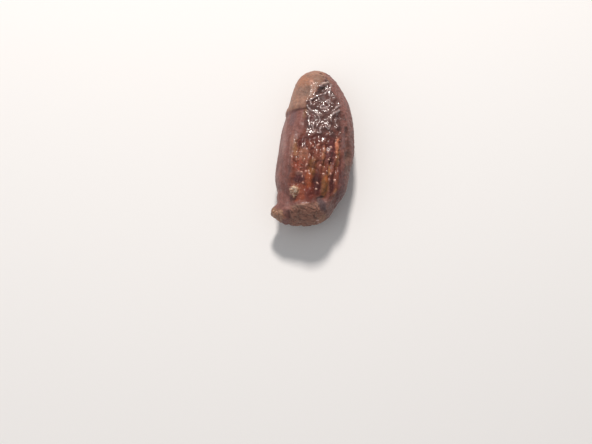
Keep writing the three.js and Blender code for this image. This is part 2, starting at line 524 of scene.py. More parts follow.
@dataclass(frozen=True)
class Fold:
    """A long fold in the film, seen from above: it runs from start to end through a place between."""

    start: Spot
    through: Spot
    end: Spot
    resolution: int = 12

    def curve(self, graph: Graph) -> Socket:
        """Draws the fold in the plane z = 0, in millimetres.

        Args:
            graph: The graph to add nodes to.

        Returns:
            The curve's socket.
        """
        pull = tuple(2 * t - (a + b) / 2 for a, t, b in zip(self.start, self.through, self.end))
        ends = {"Start": (*self.start, 0.0), "Middle": (*pull, 0.0), "End": (*self.end, 0.0)}
        inputs = {"Resolution": self.resolution, **ends}
        return graph.node("GeometryNodeCurveQuadraticBezier", inputs=inputs).outputs[0]


@dataclass(frozen=True)
class Ring:
    """A fold that closes on itself, seen from above."""

    centre: Spot
    radius: float
    resolution: int = 16

    def curve(self, graph: Graph) -> Socket:
        """Draws the ring in the plane z = 0, in millimetres.

        Args:
            graph: The graph to add nodes to.

        Returns:
            The curve's socket.
        """
        inputs = {"Resolution": self.resolution, "Radius": self.radius}
        ring = graph.node("GeometryNodeCurvePrimitiveCircle", inputs=inputs).outputs[0]
        move = {"Geometry": ring, "Translation": (*self.centre, 0.0)}
        return graph.node("GeometryNodeTransform", inputs=move).outputs[0]


FOLDS: tuple[Union[Fold, Ring], ...] = (
    Fold((-2.4, 6.7), (-1.8, 7.8), (-1.2, 9.0)),
    Fold((-1.8, 7.1), (-0.5, 8.1), (0.8, 8.6)),
    Fold((0.8, 8.6), (1.1, 9.2), (1.3, 9.9)),
    Fold((-0.3, 10.1), (0.4, 10.5), (1.0, 11.0)),
    Fold((-0.2, 9.6), (0.1, 9.9), (0.4, 10.1)),
    Fold((1.8, 10.8), (1.6, 9.3), (1.8, 7.9)),
    Fold((-2.0, 6.0), (-1.4, 5.4), (-0.7, 5.0)),
    Fold((-0.7, 5.0), (-0.3, 4.8), (0.0, 4.4)),
    Fold((-1.6, 6.9), (-1.5, 6.6), (-1.4, 6.3)),
    Fold((-0.6, 7.2), (-0.4, 7.35), (-0.1, 7.5)),
    Ring((1.2, 6.6), 0.5),
    Ring((1.5, 7.2), 0.3),
    Ring((0.6, 6.0), 0.35),
    Ring((1.3, 5.6), 0.32),
    Fold((2.4, 5.6), (3.1, 6.5), (3.8, 7.2)),
    Fold((2.2, 3.7), (2.3, 4.7), (3.6, 6.1)),
    Fold((-0.1, 4.4), (0.3, 3.6), (0.1, 2.9)),
    Fold((0.1, 2.9), (-0.1, 2.6), (-0.1, 2.2)),
    Fold((-0.6, 3.0), (-0.7, 1.9), (-0.1, 1.2)),
    Fold((-0.1, 1.2), (0.3, 1.0), (0.6, 1.3)),
    Fold((0.6, 1.3), (0.5, 1.8), (0.7, 2.3)),
    Fold((-1.5, 4.1), (-1.5, 3.0), (-1.1, 1.7)),
    Fold((-2.0, 1.3), (-1.8, 1.2), (-1.5, 1.2)),
    Fold((3.4, 4.4), (3.0, 3.7), (3.4, 2.8)),
    Fold((1.4, 2.4), (1.9, 2.1), (2.1, 2.8)),
    Fold((0.2, 0.4), (0.5, 0.1), (0.9, 0.0)),
    Fold((-2.0, 10.6), (-1.7, 11.3), (-1.2, 11.2)),
    Ring((-1.3, 10.8), 0.3),
)


class Layer(Enum):
    """Which part of the coat a lobe belongs to."""

    SMOOTH = "smooth"
    WINDOW = "window"
    BOTH = "both"


SMOOTH, WINDOW, BOTH = Layer.SMOOTH, Layer.WINDOW, Layer.BOTH


@dataclass(frozen=True)
class Lobe:
    """A place that swells out of the coat or is sunk into it, seen from above, with a colour of its own; some
    lobes carry painted shade and some painted highlights.
    """

    name: str
    centre: Spot
    radii: Spot
    colour: Colour
    height: float = 0.0
    layer: Layer = WINDOW
    turn: float = 0.0
    strength: float = 1.0

    def lay(self, graph: Graph, nodes: bpy.types.NodeTree, sofar: Mapping, share: Value) -> Mapping:
        """Adds the lobe to what the lobes before it give.

        Args:
            graph: The graph to add nodes to.
            nodes: The nodes of one lobe, as lobe_nodes makes them.
            sofar: The place, and what the lobes give so far.
            share: How fully the place lies in the lobe's layer.

        Returns:
            The outputs of the lobe's nodes.
        """
        own = {
            "Centre": (*self.centre, 0.0),
            "Radii": (*self.radii, 1.0),
            "Turn": math.radians(-self.turn),
            "Swell": self.height,
            "Strength": self.strength,
            "Colour": self.colour,
            "Share": share,
        }
        return graph.node("GeometryNodeGroup", {"node_tree": nodes}, {**sofar, **own}).outputs


LOBE_EDGE: Span = (0.65, 1.3)


def lobe_nodes() -> bpy.types.NodeTree:
    """Builds the nodes that lay one lobe over those before it.

    Returns:
        A node group that takes the place, the lobe and what the lobes give so far.
    """
    numbers = ("Shake", "Height", "Tinted", "Turn", "Swell", "Strength", "Share")
    graph = new_group(
        "lobe",
        {"Vector": ("Where", "Centre", "Radii"), "Float": numbers, "Color": ("Tint", "Colour")},
        {"Float": ("Height", "Tinted"), "Color": ("Tint",)},
    )
    given = graph.node("NodeGroupInput").outputs
    shake, height, tinted, turn, swell, strength, share = (Value(graph, given[name]) for name in numbers)
    offset = graph.vector("MULTIPLY", graph.vector("SUBTRACT", given["Where"], given["Centre"]), (1, 1, 0))
    shares = graph.vector("DIVIDE", graph.turned(offset, turn), given["Radii"])
    length = graph.node("ShaderNodeVectorMath", {"operation": "LENGTH"}, {0: shares})
    reach = Value(graph, length.outputs["Value"])
    dome = 1 - graph.least(reach * reach, 1.0)
    cover = strength * share * (1 - graph.step(reach + shake, *LOBE_EDGE))
    results = {
        "Height": height + swell * dome,
        "Tinted": tinted + cover * (1 - tinted),
        "Tint": graph.mix(cover, given["Tint"], given["Colour"]),
    }
    graph.node("NodeGroupOutput", inputs=results)
    return graph.tree


LOBES: tuple[Lobe, ...] = (
    Lobe("brown beads", (-2.4, -2.9), (1.3, 1.4), (0.3, 0.14, 0.095), strength=0.8),
    Lobe("red beads", (-2.7, -4.6), (0.7, 1.1), (0.26, 0.075, 0.05)),
    Lobe("dark band", (0.8, 0.1), (3.2, 0.9), (0.085, 0.02, 0.016), -0.04, strength=0.75),
    Lobe("left maroon", (-2.2, -0.8), (0.8, 0.9), (0.085, 0.017, 0.014), -0.04),
    Lobe("left hollow", (-2.4, -6.9), (1.0, 0.65), (0.068, 0.017, 0.02), -0.06, strength=0.95),
    Lobe("lilac beads", (-2.4, -6.0), (0.7, 0.3), (0.33, 0.19, 0.18), 0.1, strength=0.6),
    Lobe("purple beads", (2.6, -2.0), (0.8, 2.2), (0.11, 0.03, 0.032)),
    Lobe("olive sheen", (-0.3, -4.8), (0.6, 1.7), (0.19, 0.085, 0.024), 0.04, strength=0.75),
    Lobe("maroon hollow", (0.7, -7.7), (0.8, 2.1), (0.075, 0.015, 0.013), -0.08),
    Lobe("red lobe", (-0.4, -9.2), (0.95, 1.7), (0.135, 0.027, 0.018), 0.16, turn=6),
    Lobe("orange lobe", (-0.8, -7.0), (0.55, 1.4), (0.26, 0.068, 0.024), 0.1, turn=4),
    Lobe("left orange lobe", (-1.9, -9.5), (0.75, 1.8), (0.205, 0.052, 0.024), 0.14, turn=-6),
    Lobe("amber lobe", (2.1, -7.7), (0.62, 2.0), (0.2, 0.085, 0.028), 0.16, turn=-6),
    Lobe("amber glow", (2.4, -6.5), (0.3, 0.8), (0.34, 0.11, 0.035), 0.08, turn=-6),
    Lobe("gold line", (2.6, -5.2), (0.16, 1.0), (0.4, 0.2, 0.09), 0.12),
    Lobe("golden ridge", (1.5, -3.2), (0.22, 2.0), (0.3, 0.13, 0.075), 0.14),
    Lobe("dark gap", (3.2, -7.4), (0.35, 1.8), (0.07, 0.015, 0.013), -0.12),
    Lobe("small amber", (3.9, -8.6), (0.25, 0.9), (0.26, 0.12, 0.055), 0.1),
    Lobe("amber ridge", (3.8, -2.6), (0.36, 1.8), (0.2, 0.085, 0.04), 0.18),
    # An orange ridge of caramel whose pale salmon top is a painted highlight.
    Lobe("salmon ridge", (3.5, -0.5), (0.3, 1.5), (0.58, 0.24, 0.14), 0.14, strength=0.75),
    Lobe("dark valley", (3.2, 4.6), (0.6, 0.45), (0.06, 0.017, 0.014), -0.1, turn=40),
    # Painted shadow under the edge of the tip, in a shallow valley.
    Lobe("tip valley", (-0.1, 8.8), (1.3, 0.3), (0.05, 0.02, 0.016), -0.1, turn=28),
    Lobe("maroon crease", (-1.0, 4.2), (0.45, 1.0), (0.1, 0.026, 0.022)),
    Lobe("olive tip", (0.0, 11.2), (1.3, 1.7), (0.2, 0.105, 0.068), 0.0, SMOOTH, strength=0.85),
    # The pale ring is a painted ring-shaped highlight; its middle keeps a darker brown.
    Lobe("pale ring", (-1.6, 10.8), (0.5, 0.5), (0.42, 0.21, 0.15), 0.1, SMOOTH, strength=0.8),
    Lobe("ring's middle", (-1.6, 10.6), (0.2, 0.2), (0.24, 0.11, 0.075), -0.1, SMOOTH),
    Lobe("tip hollow", (-0.1, 13.2), (0.45, 0.2), (0.07, 0.028, 0.022), -0.12, SMOOTH),
    Lobe("tip pit", (0.3, 12.2), (0.25, 0.2), (0.08, 0.035, 0.026), -0.1, SMOOTH),
    # A raised knob whose pale colour is a painted highlight.
    Lobe("bright knob", (0.6, 10.9), (0.75, 0.28), (0.36, 0.24, 0.2), 0.22, BOTH, turn=35),
    Lobe("shade under the knob", (0.3, 9.9), (1.0, 0.3), (0.05, 0.022, 0.018), -0.14, BOTH, turn=30),
    Lobe("pink band", (-4.1, -1.6), (0.4, 2.3), (0.25, 0.115, 0.085), 0.04, BOTH),
    Lobe("tan rim", (-3.5, -1.7), (0.35, 1.6), (0.31, 0.17, 0.09), 0.05, BOTH, strength=0.7),
    Lobe("purple patch", (-4.3, 4.0), (0.55, 1.4), (0.125, 0.066, 0.073), 0.0, SMOOTH, strength=0.55),
    # The two pale ridges are painted sheen along the left flank, on low ridges.
    Lobe("pale ridge", (-5.5, 0.5), (0.3, 3.4), (0.33, 0.19, 0.17), 0.05, SMOOTH, strength=0.5),
    Lobe("lower pale ridge", (-5.9, -6.5), (0.25, 3.4), (0.3, 0.17, 0.15), 0.05, SMOOTH, strength=0.45),
    Lobe("brown by the window", (-2.2, 8.9), (0.8, 1.3), (0.15, 0.08, 0.056), 0.0, BOTH, strength=0.75),
    Lobe("orange on the shoulder", (-3.3, 11.4), (0.8, 1.0), (0.34, 0.15, 0.088), 0.0, SMOOTH, strength=0.55),
    Lobe("grey on the shoulder", (-3.4, 8.8), (0.7, 1.1), (0.2, 0.125, 0.098), 0.0, SMOOTH, strength=0.5),
    Lobe("pink patch", (-3.1, 3.2), (0.7, 2.6), (0.205, 0.078, 0.064), 0.04, BOTH, strength=0.8),
    Lobe("golden crease", (-2.4, 4.9), (0.3, 0.9), (0.15, 0.055, 0.02), -0.05, BOTH),
    # Painted shade in a shallow crease beside the window's left edge.
    Lobe("left crease", (-4.2, -4.4), (0.24, 3.4), (0.11, 0.052, 0.05), -0.07, BOTH, strength=0.5),
    # Painted shade in a crevice near the window's lower end.
    Lobe("crevice", (1.4, -9.75), (0.8, 0.26), (0.045, 0.022, 0.02), -0.08, BOTH, turn=30),
    Lobe("mauve end", (3.3, -11.4), (1.3, 1.5), (0.2, 0.105, 0.088), 0.0, SMOOTH, strength=0.75),
    Lobe("pale corner", (2.2, -12.7), (0.7, 0.3), (0.3, 0.165, 0.11), 0.06, SMOOTH, turn=38, strength=0.7),
    Lobe("slate lobe", (1.75, -10.8), (0.7, 1.35), (0.1, 0.06, 0.061), 0.16, SMOOTH, turn=34, strength=0.95),
    Lobe("sugar under the lump", (-2.95, -9.1), (0.8, 0.75), (0.45, 0.29, 0.2), 0.0, BOTH),
    Lobe("sugar below it", (-2.9, -9.9), (0.3, 0.35), (0.42, 0.26, 0.18), 0.0, BOTH),
    Lobe("lump", (-5.6, -13.0), (1.3, 1.1), (0.27, 0.145, 0.09), 0.0, SMOOTH, strength=0.8),
    Lobe("pink above the lump", (-4.2, -12.1), (0.8, 0.55), (0.27, 0.12, 0.1), 0.08, SMOOTH, strength=0.7),
    Lobe("lump's warm side", (-4.5, -13.3), (0.7, 0.28), (0.38, 0.16, 0.1), 0.08, SMOOTH, turn=-20,
         strength=0.75),
    # Painted shadow in the crease between the lump and the cap.
    Lobe("lump's crease", (-3.4, -13.0), (0.2, 0.9), (0.085, 0.034, 0.028), -0.1, SMOOTH, turn=20,
         strength=0.5),
    Lobe("olive edge", (-6.2, -12.9), (0.35, 1.0), (0.24, 0.14, 0.07), 0.0, SMOOTH, strength=0.8),
    Lobe("dark flank", (5.2, 1.0), (0.55, 3.0), (0.14, 0.056, 0.04), -0.04, SMOOTH, strength=0.6),
    Lobe("flank pit", (4.4, 4.9), (0.4, 0.5), (0.07, 0.026, 0.022), -0.08, SMOOTH),
    Lobe("lower flank pit", (4.9, 2.6), (0.3, 0.6), (0.07, 0.026, 0.022), -0.08, SMOOTH),
    Lobe("mauve ridge", (4.6, 0.4), (0.35, 1.8), (0.2, 0.105, 0.098), 0.08, BOTH, turn=-4),
    Lobe("maroon streak", (4.4, -4.4), (0.28, 1.9), (0.1, 0.03, 0.026), -0.08, BOTH),
    Lobe("brown flank", (5.7, -2.6), (0.45, 2.4), (0.15, 0.075, 0.055), 0.0, SMOOTH, strength=0.8),
    Lobe("grey flank", (4.9, -8.0), (0.8, 2.8), (0.125, 0.05, 0.05), 0.0, SMOOTH, strength=0.85),
)


# Painted highlights: pale pinkish glints, each on a small raised bump, most of them in the lower half of the
# window.
GLINT_SPOTS: tuple[Spot, ...] = (
    (-1.2, -5.7), (-1.2, -4.7), (-1.7, -7.6), (-2.1, -5.9), (-1.9, -6.6),
    (1.7, -5.8), (1.0, -4.4), (0.8, -7.6), (0.7, -8.5), (3.6, -6.6),
    (2.9, -5.6), (-0.9, -2.9), (1.1, -2.9), (2.4, -3.3), (2.6, -1.1),
    (2.2, -2.2), (0.4, -0.9), (-0.4, -1.4), (1.5, -13.2),
)
PAINTED_GLINTS = tuple(
    Lobe("speck", spot, (0.2, 0.15), (0.52, 0.33, 0.29), height=0.1, layer=BOTH, turn=70 * number)
    for number, spot in enumerate(GLINT_SPOTS)
)


@dataclass(frozen=True)
class Shoulder:
    """The warm layer left of the tip, which laps over the coat and ends in a step."""

    until: float = 0.3
    tilt: float = 0.02
    step_rags: Noise = Noise(1.6, 1.0, amount=0.012)
    step_soft: float = 0.006
    right: Span = (0.2, 0.7)
    right_rags: Noise = Noise(1.5, 2.0, amount=0.2)
    narrows: float = 3.5
    narrows_from: float = 0.1
    lower_edge: Span = (2.0, 5.0)
    lower_ragged: float = 4
    crease_depth: float = 0.14
    crease_past_step: float = 0.012
    crease_width: float = 0.009
    crease_left: Span = (-1.0, -0.7)
    crease_right: Span = (-0.45, -0.3)
    rim_height: float = 0.1
    rim_width: float = 0.02

    def edge(self, place: Place) -> Value:
        """How far past the step a place lies, in stations: below 0 on the layer itself."""
        return place.station - self.until + place.shake(self.step_rags) + self.tilt * place.across

    def mask(self, place: Place) -> Value:
        """How fully a place lies on the layer.

        Args:
            place: The place.

        Returns:
            1 on the layer and 0 beside it.
        """
        graph = place.graph
        narrower = self.narrows * graph.most(place.station - self.narrows_from, 0.0)
        shake = place.shake(self.right_rags)
        on_left = 1 - graph.step(place.across + narrower + shake, *self.right)
        above = graph.step(place.z + self.lower_ragged * shake, *self.lower_edge)
        return on_left * (1 - graph.past(self.edge(place), self.step_soft)) * above

    def crease(self, place: Place) -> Value:
        """How deep in the crease under the step a place lies.

        Args:
            place: The place.

        Returns:
            1 at the bottom of the crease and 0 outside it.
        """
        graph = place.graph
        across = graph.bell((self.edge(place) - self.crease_past_step) / self.crease_width)
        on_left = 1 - graph.step(place.across, *self.crease_right)
        return across * on_left * graph.step(place.across, *self.crease_left)

    def height(self, place: Place) -> Value:
        """How far the step's rounded rim stands out and its crease is sunk, in millimetres."""
        rim = place.graph.bell((self.edge(place) + self.rim_width) / self.rim_width)
        rim = rim * (1 - place.graph.step(place.across, *self.right))
        return self.rim_height * rim - self.crease_depth * self.crease(place)


@dataclass(frozen=True)
class Cap:
    """The wrinkled cap on the broad end and its thin raised rim. Lengths in millimetres."""

    rim_line: Triple = (-11.35, 0.28, 0.12)
    rim_middle_right: float = 1.0
    rim_rags: Noise = Noise(1.3, amount=0.2)
    rim_width: float = 0.22
    rim_height: float = 0.09
    rim_left: Span = (-3.0, -2.2)
    rim_right: Span = (-0.6, 0.6)
    rim_faces_up: Span = (0.3, 0.6)
    top: Span = (-0.15, 0.25)
    left: Span = (-3.9, -2.9)
    right: Span = (1.2, 2.2)
    right_slant: float = 0.9
    right_slant_from: float = 11.0
    right_rags: Noise = Noise(1.2, 2.0, amount=0.4)
    wrinkle_height: float = 0.16
    wrinkle_noise: Noise = Noise(0.4, 3.0, (4.0, 1, 1))
    wrinkle_bend: Bend = (2.0, 0.6)
    wrinkle_turn: float = 28.0
    crack_spacing: float = 1.4
    crack_bend: Bend = (0.9, 0.3)
    crack_width: float = 0.12
    crack_depth: float = 0.3

    def below_rim(self, place: Place) -> Value:
        """How far below the cap's rim a place lies, in millimetres towards the broad end.

        Args:
            place: The place.

        Returns:
            The distance, below 0 above the rim.
        """
        right = place.x + self.rim_middle_right
        middle, slope, curve = self.rim_line
        line = middle + slope * right + curve * right * right
        return line - place.y + place.shake(self.rim_rags)

    def mask(self, place: Place) -> Value:
        """How fully a place lies on the cap.

        Args:
            place: The place.

        Returns:
            1 on the cap and 0 beside it.
        """
        graph = place.graph
        from_left = graph.step(place.x, *self.left)
        slanted = place.x + self.right_slant * (place.y + self.right_slant_from)
        to_right = 1 - graph.step(slanted + place.shake(self.right_rags), *self.right)
        return graph.step(self.below_rim(place), *self.top) * from_left * to_right

    def wrinkles(self, place: Place) -> Value:
        """Fine wrinkles that run aslant over the cap.

        Args:
            place: The place.

        Returns:
            Their height as a share, between about -1 and 1.
        """
        graph = place.graph
        bent = graph.bent(place.where, *self.wrinkle_bend)
        return graph.noise(graph.turned(bent, math.radians(self.wrinkle_turn)), self.wrinkle_noise)

    def height(self, place: Place) -> Value:
        """The relief of the cap, in millimetres: its wrinkles, and a few cracks between them."""
        cracks = place.graph.crest(place.seam(self.crack_spacing, self.crack_bend), self.crack_width)
        return self.wrinkle_height * (self.wrinkles(place) - self.crack_depth * cracks)

    def rim_profile(self, place: Place) -> Value:
        """The rim's rounded profile: 1 on its crest."""
        return place.graph.bell(self.below_rim(place) / self.rim_width)

    def rim(self, place: Place, facing: Value) -> Value:
        """How far the thin raised rim under the window stands out at a place.

        Args:
            place: The place.
            facing: How far the surface faces up.

        Returns:
            1 on the rim's crest and 0 beside it.
        """
        graph = place.graph
        profile = self.rim_profile(place)
        middle = (1 - graph.step(place.x, *self.rim_right)) * graph.step(place.x, *self.rim_left)
        return profile * middle * graph.step(facing, *self.rim_faces_up)


@dataclass(frozen=True)
class Relief:
    """Heights, sizes and noises of the coat's relief. Lengths in millimetres."""

    fold_height: float = 0.18
    fold_width: float = 0.36
    fold_bend: Bend = (0.7, 0.12)
    fold_breaks: Noise = Noise(0.6, 1.0)
    fold_breaks_at: Span = (-0.35, 0.1)
    fold_left: float = 0.65
    net_size: float = 1.5
    net_share: float = 0.4
    net_width: float = 0.28
    net_bend: Bend = (1.1, 0.4)
    net_gaps: Noise = Noise(1.3)
    net_gaps_at: Span = (-0.5, -0.1)
    crease_size: float = 0.6
    crease_width: float = 0.12
    crease_height: float = 0.025
    bead_size: float = 0.75
    bead_height: float = 0.13
    bead_bend: Bend = (1.0, 0.15)
    bead_gaps: float = 1.15
    bead_middle: float = 0.55
    small_bead_size: float = 0.38
    small_bead_height: float = 0.05
    clump_size: float = 1.5
    clump_height: float = 0.2
    clump_middle: float = 0.5
    ridge_spacing: float = 1.05
    ridge_height: float = 0.05
    ridge_wander: Noise = Noise(3.0, amount=0.4)
    ridges_from: Span = (-0.1, 0.3)
    glazed: Span = (0.68, 0.78)
    glaze_height: float = 0.07
    glaze_waves: Noise = Noise(0.7, 1.0, (1, 1.8, 1))
    glaze_evens: float = 0.5
    glaze_crest: float = 0.7
    smooth_crest: float = 0.5
    flank_height: float = 0.12
    flank_left: float = 0.5
    flank_right: float = 0.8
    flank_right_from: Span = (0.2, 0.6)
    flank_folds: Noise = Noise(1.3, 1.0, (1, 6, 1))
    flank_lines: Noise = Noise(0.35, 1.0, (1, 8, 1), amount=0.3)
    flank_specks: Noise = Noise(0.5, 3.0)
    speck_height: float = 0.05
    specks_right: float = 1.8
    specks_right_from: Span = (0.3, 0.6)
    specks_shoulder: float = 0.8
    crust: Span = (-0.05, 0.45)
    crust_size: float = 0.75
    crust_height: float = 0.3
    crust_middle: float = 0.6
    lobe_rags: Noise = Noise(0.8, 3.0, (1, 1.4, 1), amount=0.5)
    lobe_bend: Bend = (1.4, 0.35)
    lobes_above: Span = (3.0, 5.0)

    def long_folds(self, place: Place) -> Value:
        """Works out the long folds of the film at a place.

        Args:
            place: The place.

        Returns:
            1 on their crests, less where a fold is broken, and 0 beside them.
        """
        graph = place.graph
        curves = graph.node("GeometryNodeJoinGeometry")
        for fold in FOLDS:
            graph.feed(curves.inputs[0], fold.curve(graph))
        lines = graph.node("GeometryNodeCurveToMesh", inputs={"Curve": curves.outputs[0]})
        flat = graph.vector("MULTIPLY", graph.bent(place.where, *self.fold_bend), (1, 1, 0))
        nearest = graph.node(
            "GeometryNodeProximity",
            {"target_element": "EDGES"},
            {"Geometry": lines.outputs[0], "Sample Position": flat},
        )
        whole = graph.step(place.noise(self.fold_breaks), *self.fold_breaks_at)
        whole = self.fold_left + (1 - self.fold_left) * whole
        return whole * graph.crest(Value(graph, nearest.outputs["Distance"]), self.fold_width)

    def net(self, place: Place, size: float, width: float) -> Value:
        """Works out a net of crests between flat cells, broken here and there.

        Args:
            place: The place.
            size: The size of a cell.
            width: Half the width of a crest.

        Returns:
            1 on a crest and 0 in a cell.
        """
        seam = place.seam(size, self.net_bend)
        whole = place.graph.step(place.noise(self.net_gaps), *self.net_gaps_at)
        return place.graph.crest(seam, width) * whole

    def pebbles(self, place: Place, size: float) -> Value:
        """Rounded beads of one size, from 1 on top to 0 in the gaps."""
        graph = place.graph
        reach = graph.cells(graph.bent(place.where, *self.bead_bend), size)
        return 1 - graph.least(reach * self.bead_gaps, 1.0) ** 2.0

    def beaded(self, place: Place, beads: Value, glazed: Value) -> Value:
        """Works out the relief of the window's lower half, where beads give way to glazed lobes.

        Args:
            place: The place.
            beads: The large beads there.
            glazed: How fully the glaze has closed over them.

        Returns:
            The height in millimetres.
        """
        graph = place.graph
        small = self.pebbles(place, self.small_bead_size)
        clumps = self.pebbles(place, self.clump_size)
        wandering = place.x + place.shake(self.ridge_wander)
        ridges = graph.math("COSINE", wandering * (2 * math.pi / self.ridge_spacing))
        ridges = ridges * graph.step(place.across, *self.ridges_from)
        glaze = place.noise(self.glaze_waves)
        height = self.bead_height * (beads - self.bead_middle) + self.small_bead_height * small
        height = height + self.clump_height * (clumps - self.clump_middle)
        height = height * (1 - self.glaze_evens * glazed)
        return height + self.ridge_height * ridges + glazed * self.glaze_height * glaze

    def flank(self, place: Place, shoulder: Value) -> Value:
        """Works out the relief of the smooth flanks: soft folds along the almond.

        Args:
            place: The place.
            shoulder: How fully the place lies on the shoulder's layer, which is rougher.

        Returns:
            The height in millimetres.
        """
        graph = place.graph
        folds = place.noise(self.flank_folds) + place.shake(self.flank_lines)
        right = self.flank_right * graph.step(place.across, *self.flank_right_from)
        streaks = (self.flank_left + right) * self.flank_height * folds
        rough = 1 + self.specks_right * graph.step(place.across, *self.specks_right_from)
        rough = rough + self.specks_shoulder * shoulder
        return streaks + rough * self.speck_height * place.noise(self.flank_specks)


@dataclass
class Coat:
    """The coat of caramel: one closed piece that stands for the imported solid."""

    name: str = "caramel_coat"
    form: Form = Form()
    window: Window = Window()
    shoulder: Shoulder = Shoulder()
    cap: Cap = Cap()
    relief: Relief = Relief()
    voxel: float = 0.082
    smoothing: int = 70
    triangles: int = 188_000

    def build(self) -> bpy.types.Object:
        """Models the coat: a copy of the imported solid, meshed evenly, smoothed and given its relief.

        Returns:
            The coat's object.
        """
        coat = copy_piece(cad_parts[NODE], self.name)
        place_in_mesh(coat)
        merge_points(coat)
        add_modifier(coat, "REMESH", mode="VOXEL", voxel_size=self.voxel * MM, use_smooth_shade=True)
        add_modifier(coat, "SMOOTH", factor=0.5, iterations=self.smoothing)
        add_modifier(coat, "NODES", node_group=self.relief_nodes())
        add_modifier(coat, "DECIMATE", ratio=min(1.0, self.triangles / triangles(coat)))
        set_finish(coat, CaramelFinish())
        return coat

    def relief_nodes(self) -> bpy.types.NodeTree:
        """Builds the nodes that raise the relief and leave their readings on the mesh.

        Returns:
            The node group of a Geometry Nodes modifier.
        """
        graph = new_group(f"{self.name}_relief")
        position = graph.node("GeometryNodeInputPosition").outputs[0]
        normal = graph.node("GeometryNodeInputNormal").outputs[0]
        facing = graph.axes(normal)[2]
        height, readings, tint = self.heights(Place.of(graph, position, self.form), facing)
        shape = graph.node("NodeGroupInput").outputs[0]
        stored = [("FLOAT", reading.value, value) for reading, value in readings.items()]
        for kind, name, value in (*stored, ("FLOAT_COLOR", TINT, tint)):
            settings = {"data_type": kind, "domain": "POINT"}
            inputs = {"Geometry": shape, "Name": name, "Value": value}
            shape = graph.node("GeometryNodeStoreNamedAttribute", settings, inputs).outputs[0]
        raised = {"Geometry": shape, "Offset": graph.vector("SCALE", normal, height * MM)}
        shape = graph.node("GeometryNodeSetPosition", inputs=raised).outputs[0]
        graph.node("NodeGroupOutput", inputs={0: self.flat_foot(graph, shape)})
        return graph.tree

    def flat_foot(self, graph: Graph, shape: Socket) -> Socket:
        """Moves what hangs below the surface that the almond lies on back up to it.

        Args:
            graph: The graph to add nodes to.
            shape: The almond's geometry.

        Returns:
            The geometry with a flat foot.
        """
        x, y, z = graph.axes(graph.node("GeometryNodeInputPosition").outputs[0])
        level = graph.node("ShaderNodeCombineXYZ", inputs={0: x, 1: y, 2: graph.most(z, 0.0)})
        moved = {"Geometry": shape, "Position": level.outputs[0]}
        return graph.node("GeometryNodeSetPosition", inputs=moved).outputs[0]

    def heights(self, place: Place, facing: Value) -> tuple[Value, dict[Reading, Value], Socket]:
        """Works out how far the coat stands out at a place, and what the finish reads there.

        Args:
            place: The place.
            facing: How far the surface faces up, from -1 to 1.

        Returns:
            The height in millimetres, the readings, and the lobes' colour.
        """
        graph, relief = place.graph, self.relief
        window = self.window.mask(place, facing)
        film = self.window.film(place) * window
        beaded = window - film
        smooth = 1 - window
        glazed = graph.step(place.station, *relief.glazed)
        cap = self.cap.mask(place) * smooth
        crust = graph.step(-1 * facing, *relief.crust)
        net = relief.net_share * relief.net(place, relief.net_size, relief.net_width)
        folds = graph.most(relief.long_folds(place), net)
        beads = relief.pebbles(place, relief.bead_size)
        rim = self.cap.rim(place, facing)
        height = film * relief.fold_height * folds
        creases = relief.net(place, relief.crease_size, relief.crease_width)
        height = height + film * relief.crease_height * creases
        height = height + beaded * relief.beaded(place, beads, glazed)
        flank = relief.flank(place, self.shoulder.mask(place))
        height = height + smooth * (1 - crust) * (1 - cap) * flank
        height = height + cap * (1 - crust) * self.cap.height(place)
        height = height + self.cap.rim_height * rim + self.shoulder.height(place) * (1 - crust)
        pebbles = relief.pebbles(place, relief.crust_size) - relief.crust_middle
        height = height + crust * relief.crust_height * pebbles
        swell, tint, tinted = self.lobes(place, {WINDOW: window, SMOOTH: smooth})
        height = height + swell
        crest = film * folds + beaded * graph.most(beads, glazed * relief.glaze_crest)
        crest = crest + smooth * relief.smooth_crest
        readings = {
            Reading.WINDOW: window,
            Reading.FILM: film,
            Reading.CREST: crest,
            Reading.CAP: graph.most(cap, rim),
            Reading.CRUST: crust,
            Reading.TINTED: tinted,
        }
        return height, readings, tint

    def lobes(self, place: Place, shares: dict[Layer, Value]) -> tuple[Value, Socket, Value]:
        """Works out what the lobes add at a place.

        Args:
            place: The place.
            shares: How fully the place lies in each layer.

        Returns:
            Their height in millimetres, their colour with black where there is none, and how fully
            they cover the place.
        """
        graph, relief = place.graph, self.relief
        upper = graph.step(place.z, *relief.lobes_above)
        shake = place.shake(relief.lobe_rags)
        where = graph.bent(place.where, *relief.lobe_bend)
        parts = {BOTH: upper, **{layer: upper * share for layer, share in shares.items()}}
        nodes = lobe_nodes()
        given = {"Height": 0.0, "Tinted": 0.0, "Tint": (0.0, 0.0, 0.0)}
        for lobe in (*LOBES, *PAINTED_GLINTS):
            sofar = {name: given[name] for name in ("Height", "Tinted", "Tint")}
            sofar |= {"Where": where, "Shake": shake}
            given = lobe.lay(graph, nodes, sofar, parts[lobe.layer])
        return Value(graph, given["Height"]) * upper, given["Tint"], Value(graph, given["Tinted"])


# ---- Modelling helpers ----


def select_nothing() -> None:
    """Deselects everything, because operators act on all that is selected."""
    bpy.ops.object.select_all(action="DESELECT")


def place_in_mesh(piece: bpy.types.Object) -> None:
    """Applies a piece's place, turn and scale to its mesh, so that its object sits at the origin."""
    select_nothing()
    piece.select_set(True)
    bpy.context.view_layer.objects.active = piece
    bpy.ops.object.transform_apply(location=True, rotation=True, scale=True)


def merge_points(piece: bpy.types.Object) -> None:
    """Merges the points of a piece's mesh that lie in one place, so that its surface is closed."""
    bpy.context.view_layer.objects.active = piece
    bpy.ops.object.mode_set(mode="EDIT")
    bpy.ops.mesh.select_all(action="SELECT")
    bpy.ops.mesh.remove_doubles(threshold=1e-4 * MM)
    bpy.ops.object.mode_set(mode="OBJECT")


